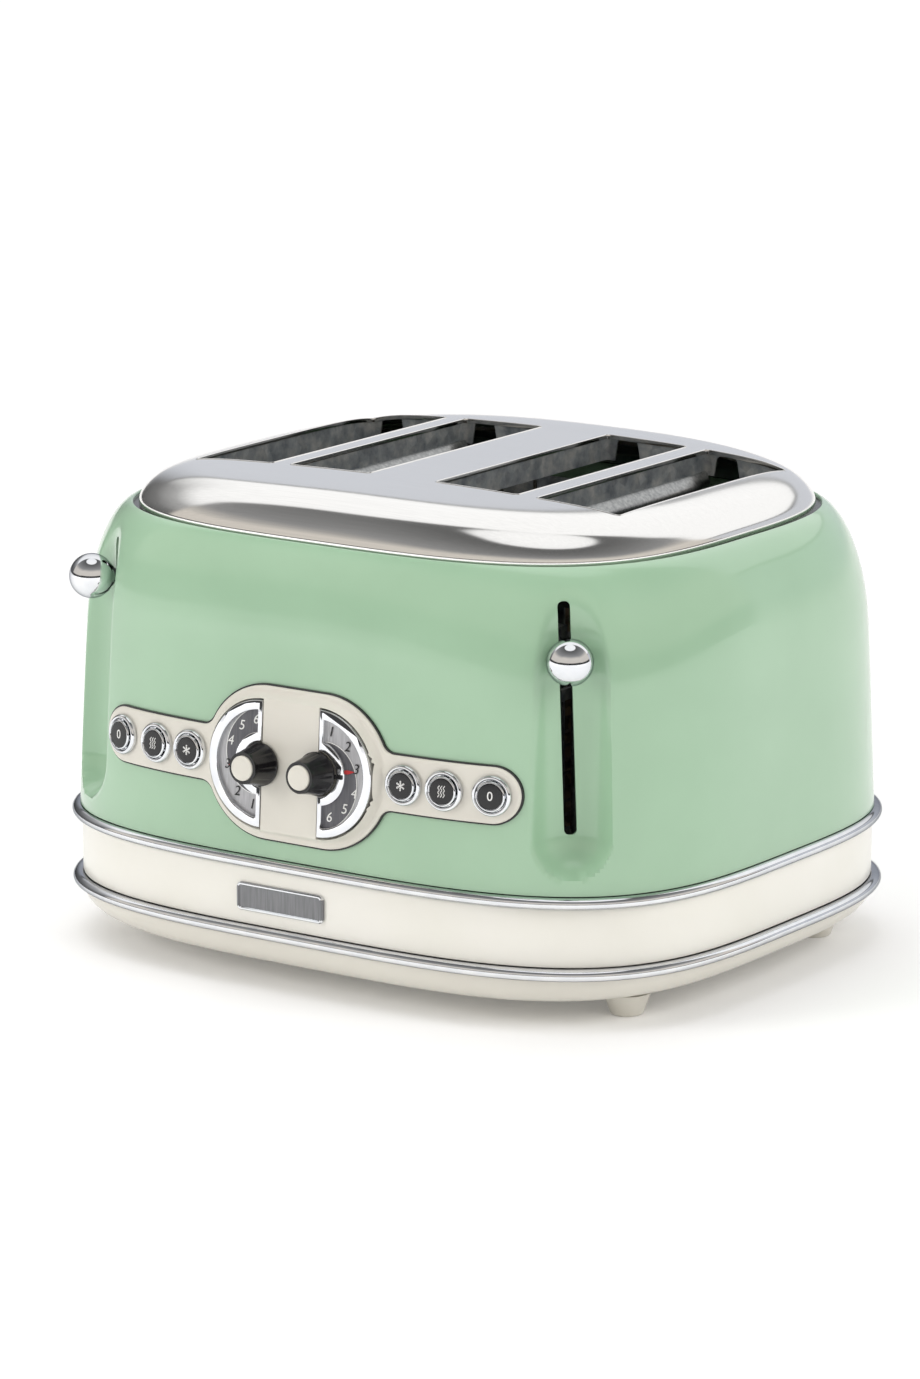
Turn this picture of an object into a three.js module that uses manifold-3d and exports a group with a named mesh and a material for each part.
import * as THREE from "three";
import { mergeVertices } from "three/addons/utils/BufferGeometryUtils.js";
import Module from "manifold-3d";

// Four-slice pop-up toaster, millimetres, +Z up, front towards -Y.
// Heights are measured from the surface that the feet stand on.

// Driving dimensions
const gap = 0.3;                  // clearance between touching pieces
const ringHeight = 57;            // centre of the upper trim ring
const lowerRingHeight = 25.7;     // centre of the lower trim ring
const ringWidth = 164.4;          // half width of a trim ring's centre line
const ringDepth = 138;            // half depth of a trim ring's centre line
const ringRadius = 3.1;
const ringSides = 6;              // the rings are hexagonal rod, flat side up
const ringRise = ringRadius * Math.sin(Math.PI / 3);
const squareness = 3.52;          // superellipse exponent of the footprint
const shellWidth = 164.5;         // half width of the painted shell at the upper ring
const shellDepth = 138;
const shellHeight = 140;          // upper ring to the shell's top edge
const sideLean = 0.026;           // how far each wall leans in, per millimetre of height
const frontLean = 0.06;
const shoulderStart = 88;
const sideShoulder = 20.06;
const frontShoulder = 8;
const wall = 1.5;
const crownHeight = 158.8;        // upper ring to the top of the lid
const domeDrop = 7;               // how far the lid falls from its middle to the full half width

const slotFront = -57.6;          // bread slots
const slotBack = 77.9;
const slotSpans = [[17.8, 60.3], [70.6, 112.4]];

const fluteOut = 177.7;           // corner flutes that the lever knobs run in
const fluteAside = 7.9;
const fluteRadius = 17.9;
const fluteBottom = 28;
const leverSlot = { width: 5.3, bottom: 27.5, top: 126, aside: 9, tilt: 0.033 };
const knobOut = 171.2;
const knobAside = 7.9;
const knobRadius = 9.4;
const armAside = 8.9;
const armThickness = 1.4;
const leverHeight = { left: ringHeight + 109.9, right: ringHeight + 103.3 };

const panelHeight = 45;           // upper ring to the middle of the control panel
const panelThickness = 1.8;
const discOffset = 15;            // the panel's middle is two half discs, this far off centre
const discRadius = 33.4;
const wingHalf = 12.1;
const wingEnd = 97.4;
const filletRadius = 7;
const buttonPlaces = [56.5, 76, 97.4];
const buttonNames = ["defrost", "reheat", "cancel"];
const dialRadius = 28;

const rackDrop = 25;              // lever knob down to the bread rack
const rackPlaces = [39, 91.5];
const guardPlaces = { inner: [20.3, 73.1], outer: [57.8, 109.9] };
const elementPlaces = [12, 65.5, 116];
const plateFront = -64;
const plateBack = 83;

// Finishes
const finishes = {
  paint: { color: 0xaccbae, roughness: 0.25, metalness: 0 },
  lid: { color: 0xc9c8c6, roughness: 0.25, metalness: 1 },
  chrome: { color: 0xe2e3e6, roughness: 0.08, metalness: 1 },
  cream: { color: 0xe0ddd2, roughness: 0.35, metalness: 0 },
  black: { color: 0x1b1a1c, roughness: 0.35, metalness: 0 },
  dial: { color: 0x9a9a9c, roughness: 0.5, metalness: 0 },
  badge: { color: 0x8f9092, roughness: 0.3, metalness: 1 },
  galvanised: { color: 0x8b8e90, roughness: 0.5, metalness: 1 },
  wire: { color: 0x9fa1a3, roughness: 0.35, metalness: 1 },
  mica: { color: 0x9c8a6c, roughness: 0.6, metalness: 0 },
  board: { color: 0x2f5d3a, roughness: 0.6, metalness: 0 },
};

const wasm = await Module();
wasm.setup();

const toaster = new THREE.Group();

// Geometry helpers

function closed(geometry) {
  geometry.deleteAttribute("normal");
  geometry.deleteAttribute("uv");
  const merged = mergeVertices(geometry, 1e-4);
  const index = merged.index.array;
  const at = merged.attributes.position;
  const a = new THREE.Vector3();
  const b = new THREE.Vector3();
  const c = new THREE.Vector3();
  const kept = [];
  let volume = 0;
  for (let i = 0; i < index.length; i += 3) {
    const [p, q, r] = [index[i], index[i + 1], index[i + 2]];
    if (p === q || q === r || r === p) continue;
    kept.push(p, q, r);
    a.fromBufferAttribute(at, p);
    b.fromBufferAttribute(at, q);
    c.fromBufferAttribute(at, r);
    volume += a.dot(b.cross(c));
  }
  if (volume < 0) kept.reverse();
  merged.setIndex(kept);
  return merged;
}

function solid(geometry) {
  const ready = closed(geometry);
  const mesh = new wasm.Mesh({
    numProp: 3,
    vertProperties: new Float32Array(ready.attributes.position.array),
    triVerts: new Uint32Array(ready.index.array),
  });
  return new wasm.Manifold(mesh);
}

function geometryOf(body) {
  const mesh = body.getMesh();
  const geometry = new THREE.BufferGeometry();
  geometry.setAttribute("position", new THREE.BufferAttribute(new Float32Array(mesh.vertProperties), 3));
  geometry.setIndex([...mesh.triVerts]);
  return geometry;
}

function joined(...bodies) {
  return bodies.reduce((whole, next) => whole.add(next));
}

function cut(body, ...tools) {
  return tools.reduce((left, tool) => left.subtract(tool), body);
}

function box(x0, x1, y0, y1, z0, z1) {
  const geometry = new THREE.BoxGeometry(x1 - x0, y1 - y0, z1 - z0);
  return geometry.translate((x0 + x1) / 2, (y0 + y1) / 2, (z0 + z1) / 2);
}

function lathe(profile, sides) {
  return new THREE.LatheGeometry(profile.map(([r, h]) => new THREE.Vector2(r, h)), sides);
}

function rod(radius, from, to, sides = 4) {
  const start = new THREE.Vector3(...from);
  const end = new THREE.Vector3(...to);
  const along = end.clone().sub(start);
  const geometry = new THREE.CylinderGeometry(radius, radius, along.length(), sides);
  const turn = new THREE.Quaternion().setFromUnitVectors(new THREE.Vector3(0, 1, 0), along.clone().normalize());
  geometry.applyQuaternion(turn);
  return geometry.translate(...start.add(end).multiplyScalar(0.5).toArray());
}

function mirrored(geometry, side) {
  return side === "left" ? geometry.clone().scale(-1, 1, 1) : geometry;
}

function addPiece(name, geometry, finish, parent = toaster) {
  const piece = new THREE.Mesh(closed(geometry), new THREE.MeshStandardMaterial(finishes[finish]));
  piece.name = name;
  parent.add(piece);
  return piece;
}

// One superellipse outline. Points crowd at the corners, where the curve is tightest.
function outlinePoint(row, turn) {
  const power = 2 / row.n;
  const x = row.a * Math.sign(Math.cos(turn)) * Math.abs(Math.cos(turn)) ** power;
  const y = row.b * Math.sign(Math.sin(turn)) * Math.abs(Math.sin(turn)) ** power;
  const drop = domeDrop * (x / ringWidth) ** 2 * (row.dome ?? 0);
  return [x, y, row.z - drop];
}

// Skins a stack of outlines. A ring closes on itself, and a block is capped at both ends.
function loft(rows, kind, count = 36) {
  const places = [];
  const faces = [];
  for (const row of rows) {
    for (let i = 0; i < count; i++) places.push(...outlinePoint(row, (i / count) * 2 * Math.PI));
  }
  const bands = kind === "ring" ? rows.length : rows.length - 1;
  for (let k = 0; k < bands; k++) {
    const low = k * count;
    const high = ((k + 1) % rows.length) * count;
    for (let i = 0; i < count; i++) {
      const next = (i + 1) % count;
      faces.push(low + i, low + next, high + next, low + i, high + next, high + i);
    }
  }
  if (kind === "block") {
    const last = (rows.length - 1) * count;
    const foot = places.length / 3;
    places.push(0, 0, rows[0].z, 0, 0, rows[rows.length - 1].z);
    for (let i = 0; i < count; i++) {
      const next = (i + 1) % count;
      faces.push(foot, next, i, foot + 1, last + i, last + next);
    }
  }
  const geometry = new THREE.BufferGeometry();
  geometry.setAttribute("position", new THREE.Float32BufferAttribute(places, 3));
  geometry.setIndex(faces);
  return geometry;
}

// The painted shell's outline at a height above the upper ring, moved in by a wall thickness
function shellRow(height, inset = 0) {
  const reach = shellHeight - shoulderStart - inset;
  const rise = Math.min(Math.max((height - shoulderStart) / reach, 0), 1);
  const round = Math.sqrt(1 - rise * rise);
  const side = sideLean * height + sideShoulder - (sideShoulder - inset) * round;
  const front = frontLean * height + frontShoulder - (frontShoulder - inset) * round;
  const n = squareness - 0.31 * (height / shellHeight) ** 4;
  return { a: shellWidth - side, b: shellDepth - front, n, z: ringHeight + height };
}

function frontFace(x, height) {
  const row = shellRow(height);
  return -row.b * (1 - (Math.abs(x) / row.a) ** row.n) ** (1 / row.n);
}

// Places a solid made along +X, through the axis, at 45 degrees towards a front corner
function towardsCorner(geometry) {
  return geometry.rotateZ(-Math.PI / 4);
}

// Housing

const shellHeights = [ringRise + gap, 88, 110, 124, 133];
const shellTop = 139.6;

function fluteTool(inset) {
  const radius = fluteRadius + inset;
  const profile = [];
  for (let i = 0; i <= 3; i++) {
    const turn = (i / 3) * (Math.PI / 2);
    profile.push([radius * Math.sin(turn), -radius * Math.cos(turn)]);
  }
  profile.push([radius, 160], [0, 160]);
  const tool = lathe(profile, 18).rotateX(Math.PI / 2);
  return towardsCorner(tool.translate(fluteOut, fluteAside, ringHeight + fluteBottom));
}

function leverSlotTool() {
  const height = leverSlot.top - leverSlot.bottom;
  const tool = new THREE.BoxGeometry(30, leverSlot.width, height);
  tool.rotateX(leverSlot.tilt);
  const middle = ringHeight + (leverSlot.top + leverSlot.bottom) / 2;
  return towardsCorner(tool.translate(fluteOut - fluteRadius, leverSlot.aside, middle));
}

function bothSides(geometry) {
  return [solid(geometry.clone()), solid(mirrored(geometry, "left"))];
}

function buttonFrame(place) {
  const here = frontFace(place, panelHeight);
  const slope = (frontFace(Math.abs(place) + 0.5, panelHeight) - frontFace(Math.abs(place) - 0.5, panelHeight));
  const out = new THREE.Vector3(Math.sign(place) * slope, -1, frontLean).normalize();
  const face = new THREE.Vector3(place, here, ringHeight + panelHeight).addScaledVector(out, gap + panelThickness);
  return { out, face };
}

function holeTool(place, radius) {
  const { out, face } = buttonFrame(place);
  const inner = face.clone().addScaledVector(out, -14);
  const outer = face.clone().addScaledVector(out, 6);
  return solid(rod(radius, inner.toArray(), outer.toArray(), 8));
}

const stemHoles = [...buttonPlaces, ...buttonPlaces.map((place) => -place)].map((place) => holeTool(place, 3.6));
const shaftHoles = [discOffset, -discOffset].map((place) => holeTool(place, 4));

function bodyShell() {
  const outer = solid(loft([...shellHeights, shellTop].map((height) => shellRow(height)), "block"));
  const innerRows = [...shellHeights, shellTop - wall].map((height) => shellRow(height, wall));
  innerRows[0].z -= 1;
  const rim = { ...shellRow(shellTop), z: ringHeight + shellTop + 1 };
  rim.a -= 0.4;
  rim.b -= 0.4;
  const mouth = { ...rim, z: ringHeight + shellTop - wall - 0.5 };
  const inner = solid(loft(innerRows, "block"));
  const cavity = cut(inner, ...bothSides(fluteTool(wall)));
  const hollow = cavity.add(solid(loft([mouth, rim], "block")));
  return cut(outer, ...bothSides(fluteTool(0)), hollow, ...bothSides(leverSlotTool()), ...stemHoles, ...shaftHoles);
}

function lidRows(inset) {
  const rows = [
    [140.1, 136.5, 0], [140.1, 141.2, 0], [137.4, 147.6, 0.15],
    [129.4, 154.5, 0.5], [118, 158.3, 1], [64, crownHeight, 1],
  ];
  return rows.map(([a, height, dome]) => ({
    a: a - inset,
    b: (a - inset) * 0.862,
    n: 3.21,
    z: ringHeight + height - (height > 137 ? inset : -1),
    dome,
  }));
}

function topCover() {
  const outer = solid(loft(lidRows(0), "block"));
  const inner = solid(loft(lidRows(1.2), "block"));
  const slots = slotSpans.flatMap(([near, far]) => bothSides(box(near, far, slotFront, slotBack, 150, 240)));
  return cut(outer, inner, ...slots);
}

function trimRing(height) {
  const rows = [];
  for (let i = 0; i < ringSides; i++) {
    const turn = (i / ringSides) * 2 * Math.PI;
    const out = ringRadius * Math.cos(turn);
    rows.push({
      a: ringWidth + out,
      b: ringDepth + out,
      n: squareness,
      z: height + ringRadius * Math.sin(turn),
    });
  }
  return loft(rows, "ring");
}

function wallRing(rows) {
  return loft(rows.map(([inset, z]) => ({
    a: ringWidth - inset,
    b: ringDepth - inset,
    n: squareness,
    z,
  })), "ring");
}

const trayBottom = 31;
const trayTop = 37.6;
const trayNear = 12;
const trayFar = 96;

function baseBand() {
  const low = lowerRingHeight + ringRise + gap;
  const high = ringHeight - ringRise - gap;
  const band = solid(wallRing([[0.9, low], [0.9, high], [3.6, high], [3.6, low]]));
  const trayDoors = bothSides(box(trayNear - 0.6, trayFar + 0.6, 90, 150, trayBottom - 0.5, trayTop + 0.6));
  const inletHole = solid(rod(7.2, [0, 120, 44], [0, 150, 44], 10));
  return cut(band, ...trayDoors, inletHole);
}

const panFloor = 10.2;

function basePan() {
  const top = lowerRingHeight - ringRise - gap;
  const outer = [[11.2, panFloor], [5.8, 13.4], [2.4, 17.6], [1.2, top]];
  const inner = [[3.7, top], [4.9, 18.6], [7.9, 15], [12.5, panFloor + 2]];
  const rows = [...outer, ...inner].map(([inset, z]) => ({
    a: ringWidth - inset,
    b: ringDepth - inset * 0.6,
    n: squareness,
    z,
  }));
  const side = solid(loft(rows, "ring"));
  const floorRows = [panFloor, panFloor + 2].map((z) => ({
    a: ringWidth - 11.9,
    b: ringDepth - 7.2,
    n: squareness,
    z,
  }));
  return joined(side, solid(loft(floorRows, "block")));
}

const footPlace = [131, 77];

function foot() {
  return lathe([[0, 0], [6.4, 0], [7, 0.6], [10.5, panFloor - gap], [0, panFloor - gap]], 12).rotateX(Math.PI / 2);
}

// Controls

// Half the panel's height at a distance from its middle
function panelHalf(x) {
  const reach = Math.abs(x);
  const filletRise = wingHalf + filletRadius;
  const filletPlace = discOffset + Math.sqrt((discRadius + filletRadius) ** 2 - filletRise ** 2);
  const tangent = discOffset + (filletPlace - discOffset) * discRadius / (discRadius + filletRadius);
  if (reach < discOffset) return discRadius;
  if (reach < tangent) return Math.sqrt(discRadius ** 2 - (reach - discOffset) ** 2);
  if (reach < filletPlace) return filletRise - Math.sqrt(filletRadius ** 2 - (reach - filletPlace) ** 2);
  if (reach < wingEnd) return wingHalf;
  return Math.sqrt(Math.max(wingHalf ** 2 - (reach - wingEnd) ** 2, 0.01));
}

function panelStations() {
  const half = [0, 15, 22, 29, 35, 40, 44.4, 47, 50.6, 62, 74, 86, 94, 99, 103, 106.5, 109.2, 110.6, 111.1];
  return [...half.slice(1).map((x) => -x).reverse(), ...half];
}

function controlPanel() {
  const places = [];
  const faces = [];
  const stations = panelStations();
  for (const x of stations) {
    const half = panelHalf(x);
    for (const [height, depth] of [[-half, 0], [half, 0], [half, 1], [-half, 1]]) {
      const level = panelHeight + height;
      places.push(x, frontFace(x, level) - gap - depth * panelThickness, ringHeight + level);
    }
  }
  for (let k = 0; k < stations.length - 1; k++) {
    for (let i = 0; i < 4; i++) {
      const next = (i + 1) % 4;
      const [low, high] = [k * 4, k * 4 + 4];
      faces.push(low + i, high + next, low + next, low + i, high + i, high + next);
    }
  }
  const last = (stations.length - 1) * 4;
  faces.push(0, 1, 2, 0, 2, 3, last, last + 2, last + 1, last, last + 3, last + 2);
  const geometry = new THREE.BufferGeometry();
  geometry.setAttribute("position", new THREE.Float32BufferAttribute(places, 3));
  geometry.setIndex(faces);
  return cut(solid(geometry), ...stemHoles, ...shaftHoles);
}

// The plane that the dials and their knobs are mounted on: local x right, y up, z outwards
const dialFace = new THREE.Group();
dialFace.position.set(0, frontFace(0, panelHeight) - gap - panelThickness, ringHeight + panelHeight);
dialFace.rotation.x = Math.PI / 2 - Math.atan(frontLean);
toaster.add(dialFace);

function halfRing(inner, outer, edge) {
  const start = Math.acos(edge / outer);
  const end = Math.acos(edge / inner);
  const shape = new THREE.Shape();
  shape.absarc(0, 0, outer, -start, start, false);
  shape.absarc(0, 0, inner, end, -end, true);
  shape.closePath();
  return shape;
}

function dialBezel() {
  const outline = halfRing(10.2, dialRadius, 0.2);
  outline.holes.push(halfRing(14, 23.6, 3.4));
  return new THREE.ExtrudeGeometry(outline, { depth: 3.2, bevelEnabled: false, curveSegments: 8 });
}

function dialPlate() {
  const outline = halfRing(14.3, 23.3, 3.7);
  return new THREE.ExtrudeGeometry(outline, { depth: 1.1, bevelEnabled: false, curveSegments: 6 });
}

function knob() {
  const profile = [
    [0, -11], [3, -11], [3, 0.8], [9.2, 0.8], [9.6, 1.4], [9.4, 4], [6.9, 17.4], [6.4, 17.9], [0, 17.9],
  ];
  return lathe(profile, 14).rotateX(Math.PI / 2);
}

function knobCap() {
  return lathe([[0, 18.2], [5.7, 18.2], [5.7, 19.1], [4.9, 19.6], [0, 19.8]], 12).rotateX(Math.PI / 2);
}

function button() {
  const profile = [[0, -9], [2.9, -9], [2.9, 2.1], [6.1, 2.1], [6.1, 3.4], [5.7, 3.7], [0, 4]];
  return lathe(profile, 12);
}

function buttonBezel() {
  return lathe([[6.5, 0], [8.7, 0], [8.7, 1.6], [7.8, 2.8], [6.5, 2.6], [6.5, 0]], 12);
}

function badgePlate() {
  const shape = new THREE.Shape();
  const [halfWidth, halfHeight, corner] = [23, 6.2, 2.4];
  shape.moveTo(-halfWidth + corner, -halfHeight);
  shape.lineTo(halfWidth - corner, -halfHeight);
  shape.absarc(halfWidth - corner, -halfHeight + corner, corner, -Math.PI / 2, 0, false);
  shape.absarc(halfWidth - corner, halfHeight - corner, corner, 0, Math.PI / 2, false);
  shape.absarc(-halfWidth + corner, halfHeight - corner, corner, Math.PI / 2, Math.PI, false);
  shape.absarc(-halfWidth + corner, -halfHeight + corner, corner, Math.PI, Math.PI * 1.5, false);
  const plate = new THREE.ExtrudeGeometry(shape, { depth: 1.8, bevelEnabled: false, curveSegments: 4 });
  plate.rotateX(Math.PI / 2);
  return plate.translate(-8, -(ringDepth - 0.9) - gap, ringHeight - 16);
}

// Inside

function leverCarriage(height) {
  const rodPlace = [98, -92];
  const parts = [
    box(36, 104, -96, -72, height - 1.5, height + 1.5),
    box(91, 105, -99, -85, height - 8, height + 8),
    towardsCorner(box(136, knobOut - knobRadius - 2.2, armAside - armThickness / 2, armAside + armThickness / 2,
      height - 4, height + 4)),
    box(78, 84, -95, -91, height - 1, height + 9),
  ];
  const rackTop = height - rackDrop;
  for (const place of rackPlaces) {
    parts.push(box(place - 1, place + 1, -76, -73, rackTop - 5, height));
    parts.push(box(place - 1, place + 1, -74, 76, rackTop - 5, rackTop));
    for (let y = -46; y <= 74; y += 29) {
      parts.push(box(place - 10, place + 10, y - 1.5, y + 1.5, rackTop - 2, rackTop - 0.2));
    }
  }
  const bore = solid(rod(3.5, [...rodPlace, height - 12], [...rodPlace, height + 12], 12));
  return cut(joined(...parts.map(solid)), bore);
}

function leverKnob(height) {
  const profile = [[0, -knobRadius - 1], [4.4, -knobRadius - 1], [4, -knobRadius + 1.2]];
  const start = Math.asin(4 / knobRadius);
  const arcs = 7;
  for (let i = 1; i <= arcs; i++) {
    const turn = start + ((Math.PI - start) * i) / arcs;
    profile.push([knobRadius * Math.sin(turn), -knobRadius * Math.cos(turn)]);
  }
  profile[profile.length - 1][0] = 0;
  const ball = lathe(profile, 14).rotateZ(-Math.PI / 2);
  return towardsCorner(ball.translate(knobOut, knobAside, height));
}

function breadGuard(places, link) {
  const parts = [];
  const [low, high] = [56, 188];
  const [front, back] = link === "front" ? [-59.5, 76] : [-56, 79.5];
  const bars = 5;
  for (const x of places) {
    for (let i = 0; i <= bars; i++) {
      const y = front + ((back - front) * i) / bars;
      parts.push(rod(1, [x, y, low - 1], [x, y, high + 1]));
    }
    parts.push(rod(1.1, [x, front - 1, low], [x, back + 1, low]));
    parts.push(rod(1.1, [x, front - 1, high], [x, back + 1, high]));
  }
  const y = link === "front" ? front : back;
  parts.push(rod(1.3, [places[0], y, low], [places[1], y, low]));
  return joined(...parts.map(solid));
}

function springCoil(bottom, top) {
  const turns = 7;
  class Helix extends THREE.Curve {
    getPoint(t) {
      const turn = t * turns * 2 * Math.PI;
      return new THREE.Vector3(3.4 * Math.cos(turn), 3.4 * Math.sin(turn), bottom + (top - bottom) * t);
    }
  }
  const section = new THREE.Shape();
  section.absarc(0, 0, 0.5, 0, 2 * Math.PI, false);
  const options = { steps: turns * 6, curveSegments: 2, bevelEnabled: false, extrudePath: new Helix() };
  return new THREE.ExtrudeGeometry(section, options).translate(81, -93, 0);
}

function frontPlate() {
  const plate = solid(box(-121, 121, plateFront, plateFront + 1.2, 48, 192));
  const slits = rackPlaces.flatMap((place) => bothSides(
    box(place - 2.4, place + 2.4, plateFront - 2, plateFront + 3, 55, 170)));
  return cut(plate, ...slits);
}

function chassisFloor() {
  const plate = solid(box(-121, 121, -112, 88, 45, 46.4));
  const openings = slotSpans.flatMap(([near, far]) => bothSides(box(near - 1, far + 1, slotFront, slotBack, 40, 50)));
  return cut(plate, ...openings);
}

function slotLiner() {
  const level = 194;
  const parts = [box(-121, 121, plateFront, plateBack + 2, level, level + 1.2)];
  const openings = [];
  for (const [near, far] of slotSpans) {
    const top = near < 40 ? 211.2 : 207.4;
    const [left, right] = [near - 0.6, far + 0.6];
    const [front, back] = [slotFront - 0.6, slotBack + 0.6];
    parts.push(box(left - 1, right + 1, front - 1, back + 1, level, top));
    parts.push(box(-right - 1, -left + 1, front - 1, back + 1, level, top));
    openings.push(...bothSides(box(left, right, front, back, level - 5, top + 5)));
  }
  return cut(joined(...parts.map(solid)), ...openings);
}

function crumbTray() {
  const pan = cut(
    solid(box(trayNear, trayFar, -60, 121, trayBottom, trayTop)),
    solid(box(trayNear + 1, trayFar - 1, -59, 120, trayBottom + 1, trayTop + 5)));
  const lip = new THREE.Shape();
  const row = { a: ringWidth - 0.9, b: ringDepth - 0.9 };
  lip.moveTo(trayNear, 120.5);
  lip.lineTo(trayFar, 120.5);
  for (let i = 0; i <= 7; i++) {
    const x = trayFar + ((trayNear - trayFar) * i) / 7;
    lip.lineTo(x, row.b * (1 - (x / row.a) ** squareness) ** (1 / squareness));
  }
  lip.closePath();
  const handle = new THREE.ExtrudeGeometry(lip, { depth: trayTop - trayBottom, bevelEnabled: false });
  return joined(pan, solid(handle.translate(0, 0, trayBottom)));
}

function cordInlet() {
  const profile = [[3.4, -9], [6.8, -9], [6.8, 0], [9.6, 0], [9.6, 1.4], [6.4, 1.8], [5.2, 3.4], [3.4, 3.4], [3.4, -9]];
  return lathe(profile, 12).translate(0, ringDepth - 0.9 + gap, 0).translate(0, 0, 44);
}

// Assembly

addPiece("body_shell", geometryOf(bodyShell()), "paint");
addPiece("top_cover", geometryOf(topCover()), "lid");
addPiece("upper_trim_ring", trimRing(ringHeight), "chrome");
addPiece("lower_trim_ring", trimRing(lowerRingHeight), "chrome");
addPiece("base_band", geometryOf(baseBand()), "cream");
addPiece("base_pan", geometryOf(basePan()), "cream");
addPiece("control_panel", geometryOf(controlPanel()), "cream");
addPiece("badge_plate", badgePlate(), "badge");
addPiece("cord_inlet", cordInlet(), "black");
addPiece("chassis_floor", geometryOf(chassisFloor()), "galvanised");
addPiece("front_chassis_plate", geometryOf(frontPlate()), "galvanised");
addPiece("rear_chassis_plate", box(-121, 121, plateBack, plateBack + 1.2, 48, 192), "galvanised");
addPiece("slot_liner", geometryOf(slotLiner()), "galvanised");
addPiece("control_board", box(-92, 92, -117, -115.4, ringHeight + 18, ringHeight + 70), "board");

for (const [row, y] of [["front", -1], ["rear", 1]]) {
  for (const [side, x] of [["left", -1], ["right", 1]]) {
    addPiece(`${row}_${side}_foot`, foot(), "cream").position.set(x * footPlace[0], y * footPlace[1], 0);
  }
}

for (const [side, sign] of [["left", -1], ["right", 1]]) {
  const height = leverHeight[side];
  const sided = (geometry) => mirrored(geometry, side);

  const turned = new THREE.Group();
  turned.position.x = sign * discOffset;
  turned.rotation.z = sign > 0 ? 0 : Math.PI;
  dialFace.add(turned);
  addPiece(`${side}_dial_bezel`, dialBezel(), "chrome", turned).position.z = gap;
  addPiece(`${side}_dial_plate`, dialPlate(), "dial", turned).position.z = gap;
  addPiece(`${side}_browning_knob`, knob(), "black", turned);
  addPiece(`${side}_knob_cap`, knobCap(), "cream", turned);

  buttonPlaces.forEach((place, i) => {
    const { out, face } = buttonFrame(sign * place);
    const mount = new THREE.Group();
    mount.position.copy(face);
    mount.quaternion.setFromUnitVectors(new THREE.Vector3(0, 1, 0), out);
    toaster.add(mount);
    addPiece(`${side}_${buttonNames[i]}_button`, button(), "black", mount);
    addPiece(`${side}_${buttonNames[i]}_bezel`, buttonBezel(), "chrome", mount).position.y = gap;
  });

  addPiece(`${side}_lever_carriage`, sided(geometryOf(leverCarriage(height))), "galvanised");
  addPiece(`${side}_lever_knob`, sided(leverKnob(height)), "chrome");
  addPiece(`${side}_guide_rod`, sided(rod(3, [98, -92, 47], [98, -92, 191], 12)), "wire");
  addPiece(`${side}_lift_spring`, sided(springCoil(height + 10, 191)), "wire");
  addPiece(`${side}_inner_guards`, sided(geometryOf(breadGuard(guardPlaces.inner, "front"))), "wire");
  addPiece(`${side}_outer_guards`, sided(geometryOf(breadGuard(guardPlaces.outer, "rear"))), "wire");
  addPiece(`${side}_crumb_tray`, sided(geometryOf(crumbTray())), "galvanised");
  addPiece(`${side}_latch_magnet`, sided(box(58, 76, -106, -88, 47, 80)), "black");
  elementPlaces.forEach((place, i) => {
    addPiece(`${side}_element_${i + 1}`, sided(box(place - 0.6, place + 0.6, -55, 75, 62, 186)), "mica");
  });
}

// The frame's origin is under the middle of the whole object, knobs included
toaster.updateMatrixWorld(true);
const reach = new THREE.Box3().setFromObject(toaster);
toaster.position.y = -(reach.min.y + reach.max.y) / 2;

export default toaster;
